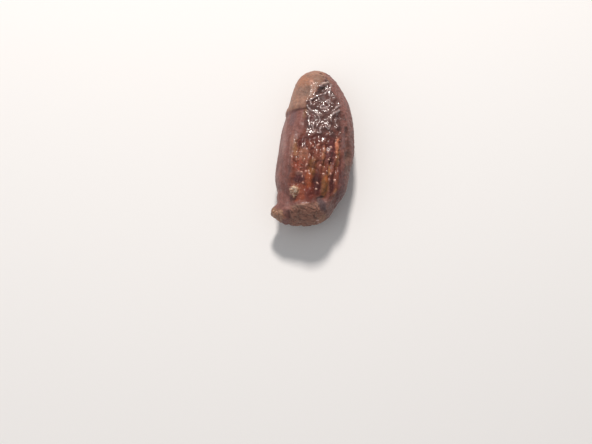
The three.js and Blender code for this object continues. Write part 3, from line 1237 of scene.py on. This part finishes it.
def copy_piece(piece: bpy.types.Object, name: str) -> bpy.types.Object:
    """Copies a piece with its mesh.

    Args:
        piece: The piece.
        name: The copy's name.

    Returns:
        The copy, which is in the scene.
    """
    copy = piece.copy()
    copy.data = piece.data.copy()
    copy.name = copy.data.name = name
    bpy.context.scene.collection.objects.link(copy)
    return copy


def add_modifier(piece: bpy.types.Object, kind: str, **settings: object) -> None:
    """Adds a modifier and applies it.

    Args:
        piece: The piece.
        kind: The modifier's type.
        settings: Its properties.
    """
    bpy.context.view_layer.objects.active = piece
    modifier = piece.modifiers.new(kind.title(), kind)
    for name, value in settings.items():
        setattr(modifier, name, value)
    bpy.ops.object.modifier_apply(modifier=modifier.name)


def triangles(piece: bpy.types.Object) -> int:
    """The number of triangles in a piece's mesh."""
    piece.data.calc_loop_triangles()
    return len(piece.data.loop_triangles)


def set_finish(piece: bpy.types.Object, finish: "Finish") -> None:
    """Gives a piece one finish in place of those that it has."""
    piece.data.materials.clear()
    piece.data.materials.append(finish.material())


# ---- Finishes ----


@dataclass(frozen=True)
class Finish:
    """A finish, whose material is built from what its shader's sockets take."""

    name: str

    def material(self) -> bpy.types.Material:
        """Builds the finish's material.

        Returns:
            The material.
        """
        material = bpy.data.materials.new(self.name)
        material.use_nodes = True
        graph = Graph(material.node_tree)
        shader = graph.tree.nodes["Principled BSDF"]
        for socket, value in self.sockets(graph).items():
            graph.feed(shader.inputs[socket], value)
        return material

    def sockets(self, graph: Graph) -> dict[str, object]:
        """What the shader's sockets take, by name."""
        raise NotImplementedError


@dataclass(frozen=True)
class Blend:
    """A property of the coat's finish: its value on the flanks, and what the other parts add to it.

    The cells are the flat places between the film's folds.
    """

    flank: float
    window: float = 0.0
    film: float = 0.0
    beaded: float = 0.0
    cells: float = 0.0
    cap: float = 0.0

    def over(self, **parts: Value) -> Value:
        """Works out the property at a place.

        Args:
            parts: How fully the place lies in each part, by the part's name.

        Returns:
            The property's value there.
        """
        value = self.flank
        for part, share in parts.items():
            value = value + getattr(self, part) * share
        return value


@dataclass(frozen=True)
class CaramelFinish(Finish):
    """The coat's finish: caramel that is thin and glossy in the window and mauve brown round it.

    A span holds the readings between which a colour sets in, and a share says how strong it gets.
    """

    name: str = "set_caramel"
    flank: Colour = (0.175, 0.068, 0.056)
    flank_pale: Colour = (0.26, 0.118, 0.10)
    # The next colour darkens streaks on the right flank and paints shade in the crease under the shoulder.
    flank_dark_and_crease_shade: Colour = (0.095, 0.036, 0.029)
    bloom: Colour = (0.27, 0.165, 0.155)
    shoulder: Colour = (0.30, 0.155, 0.107)
    shoulder_warm: Colour = (0.29, 0.135, 0.082)
    shoulder_dull: Colour = (0.19, 0.105, 0.078)
    film: Colour = (0.105, 0.040, 0.032)
    film_dark: Colour = (0.050, 0.013, 0.010)
    # The film's crests: paler sugar, and painted highlight lines.
    film_crest_pale_and_highlight: Colour = (0.40, 0.30, 0.285)
    # Painted shade in the gaps between the beads.
    pit: Colour = (0.060, 0.011, 0.009)
    bead: Colour = (0.15, 0.040, 0.025)
    bead_crest: Colour = (0.25, 0.095, 0.064)
    # Painted highlight: pale glints on the tops of the beads.
    bead_painted_glint: Colour = (0.46, 0.24, 0.18)
    glaze: Colour = (1.02, 0.86, 0.76)
    cap: Colour = (0.27, 0.128, 0.090)
    # Painted shade in the troughs of the cap's wrinkles.
    cap_wrinkle_shade: Colour = (0.112, 0.049, 0.034)
    cap_pale: Colour = (0.30, 0.185, 0.14)
    # The cap's rim: a pale line, partly painted highlight on its crest.
    cap_rim_pale_and_highlight: Colour = (0.32, 0.19, 0.14)
    crust: Colour = (0.16, 0.060, 0.036)
    crust_pale: Colour = (0.31, 0.15, 0.088)
    roughness: Blend = Blend(0.5, film=-0.28, beaded=-0.12, cells=0.3, cap=0.1)
    varnish: Blend = Blend(0.06, window=0.94, beaded=-0.86, cells=-0.9, cap=-0.3)
    mottling: float = 0.38
    mottled: Span = (-0.3, 0.6)
    film_mottled: Span = (-0.2, 0.5)
    streaked: Span = (-0.3, 0.8)
    finely_streaked: Span = (0.1, 0.6)
    streaks_right: Span = (0.4, 0.7)
    dark_and_crease_shade_share: float = 0.7
    bloomed: Span = (0.0, 0.5)
    bloom_share: float = 0.5
    warm_from_y: Span = (8.5, 11.5)
    warm_ragged: float = 1.5
    dulled: Span = (-0.15, 0.35)
    dull_share: float = 0.7
    capped: Span = (0.1, 0.9)
    wrinkled: Span = (-0.35, 0.15)
    cap_bloomed: Span = (0.0, 0.4)
    cap_bloom_share: float = 0.6
    rim_share: float = 0.8
    crested: Span = (0.5, 0.9)
    crest_share: float = 0.75
    gap_shaded: Span = (0.05, 0.45)
    gap_shade_share: float = 0.6
    glinting: Span = (0.3, 0.45)
    glints_on: Span = (0.4, 0.8)
    glint_share: float = 0.6
    gloss_patches: Noise = Noise(0.8, 2.0, amount=0.08)
    fine_grain: Noise = Noise(0.3, 4.0)
    mottles: Noise = Noise(1.1, 3.0)
    specks: Noise = Noise(0.3, 3.0)
    shades: Noise = Noise(0.9, 2.0, amount=0.7)
    streaks: Noise = Noise(0.7, 2.0, (1, 8, 1))
    fine_streaks: Noise = Noise(0.3, 2.0, (1, 10, 1))
    frost: Noise = Noise(0.6, 4.0, (1, 1.5, 1))
    crest_specks: Noise = Noise(0.25, 2.0, amount=0.25)

    def sockets(self, graph: Graph) -> dict[str, object]:
        """What the shader's sockets take.

        Args:
            graph: The material's graph.

        Returns:
            Each socket's value or link, by name.
        """
        place = Place.in_shader(graph)
        readings = {reading: graph.reading(reading.value) for reading in Reading}
        window, film, cap = (readings[r] for r in (Reading.WINDOW, Reading.FILM, Reading.CAP))
        cells = film * (1 - readings[Reading.CREST])
        beaded = window - film
        roughness = self.roughness.over(film=film, beaded=beaded, cells=cells, cap=cap)
        varnish = self.varnish.over(window=window, cells=cells, beaded=beaded, cap=cap)
        return {
            "Base Color": self.colour(place, readings),
            "Roughness": roughness + place.shake(self.gloss_patches),
            "IOR": 1.42,
            "Coat Weight": varnish,
            "Coat Roughness": 0.1,
            "Coat IOR": 1.75,
            "Subsurface Weight": 0.12,
            "Subsurface Radius": (1.0, 0.35, 0.2),
            "Subsurface Scale": 0.6 * MM,
            "Normal": graph.bump(place.noise(self.fine_grain), rise=0.05, strength=0.45),
        }

    def colour(self, place: Place, readings: dict[Reading, Value]) -> Socket:
        """Works out the colour of every part of the coat.

        Args:
            place: The place.
            readings: What the mesh carries there.

        Returns:
            The colour's socket.
        """
        graph, crest = place.graph, readings[Reading.CREST]
        window = readings[Reading.WINDOW]
        beaded = window - readings[Reading.FILM]
        mottle = place.noise(self.mottles)
        smooth = self.smooth_colour(place, readings, mottle)
        rough = self.window_colour(place, readings, mottle)
        colour = graph.mix(window, smooth, rough)
        colour = graph.mix(readings[Reading.TINTED], colour, (0.0, 0.0, 0.0))
        tint = graph.node("ShaderNodeAttribute", {"attribute_name": TINT}).outputs["Color"]
        colour = graph.mix(1.0, colour, tint, "ADD")
        # Painted shade: darker in the gaps between the beads.
        bead_gap_shade = (1 - graph.step(crest, *self.gap_shaded)) * beaded
        colour = graph.mix(self.gap_shade_share * bead_gap_shade, colour, self.pit)
        specks = place.noise(self.specks)
        # Painted highlights: pale glints on the tops of the beads.
        glints = graph.step(specks, *self.glinting) * graph.step(crest, *self.glints_on)
        colour = graph.mix(beaded, colour, graph.vector("MULTIPLY", colour, self.glaze))
        colour = graph.mix(self.glint_share * glints * beaded, colour, self.bead_painted_glint)
        under = graph.mix(graph.step(mottle, *self.mottled), self.crust, self.crust_pale)
        colour = graph.mix(readings[Reading.CRUST], colour, under)
        shade = 1 + self.mottling * (specks + place.shake(self.shades))
        return graph.vector("SCALE", colour, shade)

    def smooth_colour(self, place: Place, readings: dict[Reading, Value], mottle: Value) -> Socket:
        """Works out the colour of the smooth flanks, the shoulder and the cap.

        Args:
            place: The place.
            readings: What the mesh carries there.
            mottle: Soft noise.

        Returns:
            The colour's socket.
        """
        graph, shoulder, cap = place.graph, Shoulder(), Cap()
        frost = place.noise(self.frost)
        streaks = graph.step(place.noise(self.streaks), *self.streaked)
        colour = graph.mix(streaks, self.flank, self.flank_pale)
        colour = graph.mix(self.bloom_share * graph.step(frost, *self.bloomed), colour, self.bloom)
        fine = graph.step(place.noise(self.fine_streaks), *self.finely_streaked)
        right = graph.step(place.across, *self.streaks_right) * fine
        colour = graph.mix(self.dark_and_crease_shade_share * right, colour, self.flank_dark_and_crease_shade)
        warm = graph.step(place.y + self.warm_ragged * mottle, *self.warm_from_y)
        layer = graph.mix(warm, self.shoulder, self.shoulder_warm)
        layer = graph.mix(self.dull_share * graph.step(frost, *self.dulled), layer, self.shoulder_dull)
        colour = graph.mix(shoulder.mask(place), colour, layer)
        # Painted shade in the crease under the shoulder's step.
        colour = graph.mix(self.dark_and_crease_shade_share * shoulder.crease(place), colour, self.flank_dark_and_crease_shade)
        # Painted shade: the cap is darker in its wrinkles' troughs.
        wrinkled = graph.mix(graph.step(cap.wrinkles(place), *self.wrinkled), self.cap_wrinkle_shade, self.cap)
        bloom = self.cap_bloom_share * graph.step(frost, *self.cap_bloomed)
        wrinkled = graph.mix(bloom, wrinkled, self.cap_pale)
        colour = graph.mix(graph.step(readings[Reading.CAP], *self.capped), colour, wrinkled)
        # A pale line along the crest of the cap's rim, partly a painted highlight.
        rim = cap.rim_profile(place) * readings[Reading.CAP] * (1 - graph.step(place.x, *cap.rim_right))
        return graph.mix(self.rim_share * rim, colour, self.cap_rim_pale_and_highlight)

    def window_colour(self, place: Place, readings: dict[Reading, Value], mottle: Value) -> Socket:
        """Works out the colour of the window: grey brown film by the tip and red brown beads below it.

        Args:
            place: The place.
            readings: What the mesh carries there.
            mottle: Soft noise.

        Returns:
            The colour's socket.
        """
        graph, crest = place.graph, readings[Reading.CREST]
        beads = graph.mix(graph.step(mottle, *self.mottled), self.bead, self.bead_crest)
        film = graph.mix(graph.step(mottle, *self.film_mottled), self.film, self.film_dark)
        # The film's crests are paler, partly as dried sugar and partly as painted highlight lines.
        share = self.crest_share + place.shake(self.crest_specks)
        pale = graph.step(crest, *self.crested) * share
        film = graph.mix(pale, film, self.film_crest_pale_and_highlight)
        return graph.mix(readings[Reading.FILM], beads, film)


@dataclass(frozen=True)
class GrainFinish(Finish):
    """The finish of small grains: glossy, a little translucent, and mottled from grain to grain."""

    dark: Colour
    pale: Colour
    roughness: float = 0.14
    subsurface: float = 0.3
    mottles: Noise = Noise(0.5, 2.0)
    mottled: Span = (-0.4, 0.5)
    roughness_mottled: float = 0.06
    fine_grain: Noise = Noise(0.09, 2.0)

    def sockets(self, graph: Graph) -> dict[str, object]:
        """What the shader's sockets take.

        Args:
            graph: The material's graph.

        Returns:
            Each socket's value or link, by name.
        """
        place = Place.in_shader(graph)
        mottle = place.noise(self.mottles)
        return {
            "Base Color": graph.mix(graph.step(mottle, *self.mottled), self.dark, self.pale),
            "Roughness": self.roughness + self.roughness_mottled * mottle,
            "Coat Weight": 0.25,
            "Coat Roughness": 0.08,
            "Coat IOR": 1.6,
            "Subsurface Weight": self.subsurface,
            "Subsurface Radius": (1.0, 0.6, 0.4),
            "Subsurface Scale": 0.4 * MM,
            "Normal": graph.bump(place.noise(self.fine_grain), rise=0.02, strength=0.3),
        }


@dataclass(frozen=True)
class TableFinish(Finish):
    """The matt, pale top of the table."""

    name: str = "pale_table"
    colour: Colour = (0.80, 0.80, 0.79)
    roughness: float = 0.7

    def sockets(self, graph: Graph) -> dict[str, object]:
        """What the shader's sockets take, by name."""
        return {"Base Color": self.colour, "Roughness": self.roughness}


# ---- Grains and lumps ----


@dataclass(frozen=True)
class Patch:
    """An ellipse in which grains lie, seen from above: its centre and its radii in millimetres."""

    centre: Spot
    radii: Spot


@dataclass(frozen=True)
class Spread:
    """Where grains lie: in patches, or where the coat has a reading between two stations."""

    reading: Optional[Reading] = None
    stations: Optional[Span] = None
    patches: tuple[Patch, ...] = ()
    patch_edge: Span = (0.7, 1.1)
    patches_above: Span = (2.5, 4.0)
    gaps: Noise = Noise(1.6)
    gaps_at: Span = (-0.4, 0.5)
    above: Span = (0.4, 0.9)
    station_soft: float = 0.03

    def share(self, place: Place) -> Value:
        """Works out how densely the grains lie at a place.

        Args:
            place: The place.

        Returns:
            The density as a share of the full one.
        """
        graph = place.graph
        share = Value(graph, graph.node("ShaderNodeValue").outputs[0])
        share.socket.default_value = 0.0
        for patch in self.patches:
            inside = 1 - graph.step(place.reach(patch.centre, patch.radii), *self.patch_edge)
            share = graph.most(share, inside * graph.step(place.z, *self.patches_above))
        if self.reading is not None:
            wanted = {"Name": self.reading.value}
            named = graph.node("GeometryNodeInputNamedAttribute", {"data_type": "FLOAT"}, wanted)
            patchy = graph.step(place.noise(self.gaps), *self.gaps_at)
            wide = Value(graph, named.outputs["Attribute"]) * patchy * graph.step(place.z, *self.above)
            if self.stations is not None:
                first, last = self.stations
                wide = wide * graph.past(place.station - first, self.station_soft)
                wide = wide * (1 - graph.past(place.station - last, self.station_soft))
            share = graph.most(share, wide)
        return share


@dataclass
class Grains:
    """Small grains scattered on the coat and sunk into it. Lengths are in millimetres."""

    name: str
    finish: GrainFinish
    spread: Spread
    radii: tuple[float, float]
    per_mm2: float
    seed: int
    sunk: float = 0.35
    cuts: int = 2
    uneven: float = 0.16

    def build(self, coat: bpy.types.Object) -> bpy.types.Object:
        """Models one grain, scatters copies of it over the coat and joins them.

        Args:
            coat: The coat that carries the grains.

        Returns:
            The joined piece.
        """
        grain = self.one_grain()
        piece = copy_piece(coat, self.name)
        add_modifier(piece, "NODES", node_group=self.scatter_nodes(grain))
        bpy.data.objects.remove(grain)
        set_finish(piece, self.finish)
        return piece

    def one_grain(self) -> bpy.types.Object:
        """Models one grain of radius 1: an uneven ball with a few dozen faces.

        Returns:
            The grain's object.
        """
        select_nothing()
        bpy.ops.mesh.primitive_ico_sphere_add(subdivisions=self.cuts, radius=1.0)
        grain = bpy.context.object
        bpy.ops.object.mode_set(mode="EDIT")
        bpy.ops.mesh.select_all(action="SELECT")
        bpy.ops.transform.vertex_random(offset=self.uneven, uniform=0.4, normal=0.6, seed=self.seed)
        bpy.ops.object.mode_set(mode="OBJECT")
        if self.cuts > 1:
            bpy.ops.object.shade_smooth()
        return grain

    def scatter_nodes(self, grain: bpy.types.Object) -> bpy.types.NodeTree:
        """Builds the nodes that scatter a grain over a surface.

        Args:
            grain: The grain to copy.

        Returns:
            The node group of a Geometry Nodes modifier.
        """
        graph = new_group(f"{self.name}_scatter")
        place = Place.of(graph, graph.node("GeometryNodeInputPosition").outputs[0])
        surface = graph.node("NodeGroupInput").outputs[0]
        density = self.spread.share(place) * (self.per_mm2 / MM**2)
        points = graph.node(
            "GeometryNodeDistributePointsOnFaces",
            {"distribute_method": "RANDOM"},
            {"Mesh": surface, "Density": density, "Seed": self.seed},
        )
        turn = self.random(graph, "FLOAT_VECTOR", (0.0, 0.0, 0.0), (math.tau, math.tau, math.tau), 1)
        size = self.random(graph, "FLOAT", self.radii[0] * MM, self.radii[1] * MM, 2)
        inwards = graph.vector("SCALE", points.outputs["Normal"], -self.sunk * Value(graph, size))
        seated = {"Geometry": points.outputs["Points"], "Offset": inwards}
        info = graph.node("GeometryNodeObjectInfo", inputs={"Object": grain})
        placed = {
            "Points": graph.node("GeometryNodeSetPosition", inputs=seated).outputs[0],
            "Instance": info.outputs["Geometry"],
            "Rotation": turn,
            "Scale": size,
        }
        copies = graph.node("GeometryNodeInstanceOnPoints", inputs=placed).outputs[0]
        real = graph.node("GeometryNodeRealizeInstances", inputs={"Geometry": copies}).outputs[0]
        graph.node("NodeGroupOutput", inputs={0: real})
        return graph.tree

    def random(self, graph: Graph, kind: str, low: object, high: object, draw: int) -> Socket:
        """A random value for each grain.

        Args:
            graph: The graph to add nodes to.
            kind: The value's data type.
            low: The least value.
            high: The greatest value.
            draw: Which of the grain's values this is.

        Returns:
            The value's socket.
        """
        made = graph.node("FunctionNodeRandomValue", {"data_type": kind}, {"Seed": 10 * self.seed + draw})
        sockets = [s for s in made.inputs if s.enabled and s.name in ("Min", "Max")]
        for socket, value in zip(sockets, (low, high)):
            graph.feed(socket, value)
        return next(s for s in made.outputs if s.enabled)


BEAD_CARAMEL = GrainFinish("bead_caramel", (0.15, 0.042, 0.028), (0.44, 0.22, 0.16), 0.32)
CREAM_SUGAR = GrainFinish("cream_sugar", (0.50, 0.27, 0.16), (0.76, 0.56, 0.42), 0.3, 0.4)
LUMP_SUGAR = GrainFinish("lump_sugar", (0.27, 0.115, 0.068), (0.36, 0.20, 0.12), 0.42, 0.2)
CRUST_SUGAR = GrainFinish("crust_sugar", (0.24, 0.10, 0.06), (0.52, 0.32, 0.20), 0.3, 0.3)

LUMP_PATCHES = (Patch((-2.95, -9.05), (0.62, 0.52)), Patch((-2.9, -9.8), (0.28, 0.34)))
END_PATCHES = (Patch((-5.7, -13.1), (1.25, 0.95)),)
GRAINS: tuple[Grains, ...] = (
    Grains(
        "caramel_beads", BEAD_CARAMEL, Spread(Reading.WINDOW, stations=(0.47, 0.72)),
        radii=(0.09, 0.2), per_mm2=1.3, seed=4,
    ),
    Grains(
        "sugar_lump", CREAM_SUGAR, Spread(patches=LUMP_PATCHES),
        radii=(0.12, 0.3), per_mm2=14.0, seed=7, sunk=0.3,
    ),
    Grains(
        "lump_grains", LUMP_SUGAR, Spread(patches=END_PATCHES),
        radii=(0.3, 0.65), per_mm2=1.8, seed=11, sunk=0.76, cuts=3, uneven=0.06,
    ),
    Grains(
        "crust_crumbs", CRUST_SUGAR, Spread(Reading.CRUST),
        radii=(0.06, 0.2), per_mm2=1.3, seed=9, cuts=1, uneven=0.3,
    ),
)


# ---- Studio ----


@dataclass(frozen=True)
class Lamp:
    """A soft square light. Lengths are in millimetres, and towards points from the almond to it."""

    name: str
    towards: Triple
    distance: float
    size: float
    watts: float
    colour: Colour

    def build(self) -> None:
        """Adds the light, aimed at the almond."""
        data = bpy.data.lights.new(self.name, "AREA")
        data.size, data.energy, data.color = self.size * MM, self.watts, self.colour
        lamp = bpy.data.objects.new(self.name, data)
        bpy.context.scene.collection.objects.link(lamp)
        direction = Vector(self.towards).normalized()
        lamp.location = direction * self.distance * MM
        lamp.rotation_euler = direction.to_track_quat("Z", "Y").to_euler()
        lamp.visible_camera = False


@dataclass
class Studio:
    """The pale table, the soft light and the camera. Lengths are in millimetres."""

    frame_px: tuple[int, int] = (592, 444)
    almond_at_px: Spot = (315.5, 147.2)
    px_per_mm: float = 5.78
    lens: float = 85.0
    sensor: float = 36.0
    nearest: float = 1.0
    elevation: float = 75.0
    roll: float = 5.0
    table_size: float = 3000.0
    table_finish: TableFinish = TableFinish()
    lamps: tuple[Lamp, ...] = (
        Lamp("window_light", (-0.10, 0.69, 0.71), 420, 60, 1.78, (1.0, 0.93, 0.88)),
        Lamp("soft_light", (-0.7, -0.35, 0.8), 500, 500, 0.4, (1.0, 0.97, 0.95)),
    )
    room_colour: Colour = (0.97, 0.97, 1.0)
    room_strength: float = 0.36

    def build(self) -> None:
        """Sets up the whole studio."""
        self.camera()
        self.table()
        for lamp in self.lamps:
            lamp.build()
        self.room()

    def camera(self) -> None:
        """Places the camera so that the middle of the almond's box falls on its place in the frame."""
        data = bpy.data.cameras.new("camera")
        data.lens, data.sensor_width = self.lens, self.sensor
        data.clip_start = self.nearest * MM
        camera = bpy.data.objects.new("camera", data)
        bpy.context.scene.collection.objects.link(camera)
        turn = Euler((math.radians(90 - self.elevation), 0, 0)).to_matrix()
        turn = turn @ Euler((0, 0, math.radians(self.roll))).to_matrix()
        right, up, back = turn.col
        distance = self.lens / self.sensor * self.frame_px[0] / self.px_per_mm
        across = (self.almond_at_px[0] - self.frame_px[0] / 2) / self.px_per_mm
        down = (self.almond_at_px[1] - self.frame_px[1] / 2) / self.px_per_mm
        middle = (CAD_BOX[0] + CAD_BOX[1]) / 2
        camera.location = middle + (back * distance - right * across + up * down) * MM
        camera.rotation_euler = turn.to_euler()
        bpy.context.scene.camera = camera

    def table(self) -> None:
        """Lays the top of the table that the almond rests on."""
        select_nothing()
        bpy.ops.mesh.primitive_plane_add(size=self.table_size * MM, location=(0, 0, 0))
        table = bpy.context.object
        table.name = table.data.name = "table_top"
        table.data.materials.append(self.table_finish.material())

    def room(self) -> None:
        """Fills the room with even light."""
        world = bpy.data.worlds.new("room")
        bpy.context.scene.world = world
        world.use_nodes = True
        background = world.node_tree.nodes["Background"]
        background.inputs["Color"].default_value = (*self.room_colour, 1)
        background.inputs["Strength"].default_value = self.room_strength
        bpy.context.scene.view_settings.view_transform = "Standard"


# ---- Whole ----


def report(piece: bpy.types.Object) -> None:
    """Logs a finished piece's name and triangles."""
    log.info("%s: %d triangles", piece.name, triangles(piece))


def main() -> None:
    """Builds the almond and its studio, piece by piece."""
    Studio().build()
    coat = Coat().build()
    pieces = [coat, *(grains.build(coat) for grains in GRAINS)]
    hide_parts(NODE)
    for piece in pieces:
        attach(piece, BODY)
        report(piece)


if __name__ == "__main__":
    main()
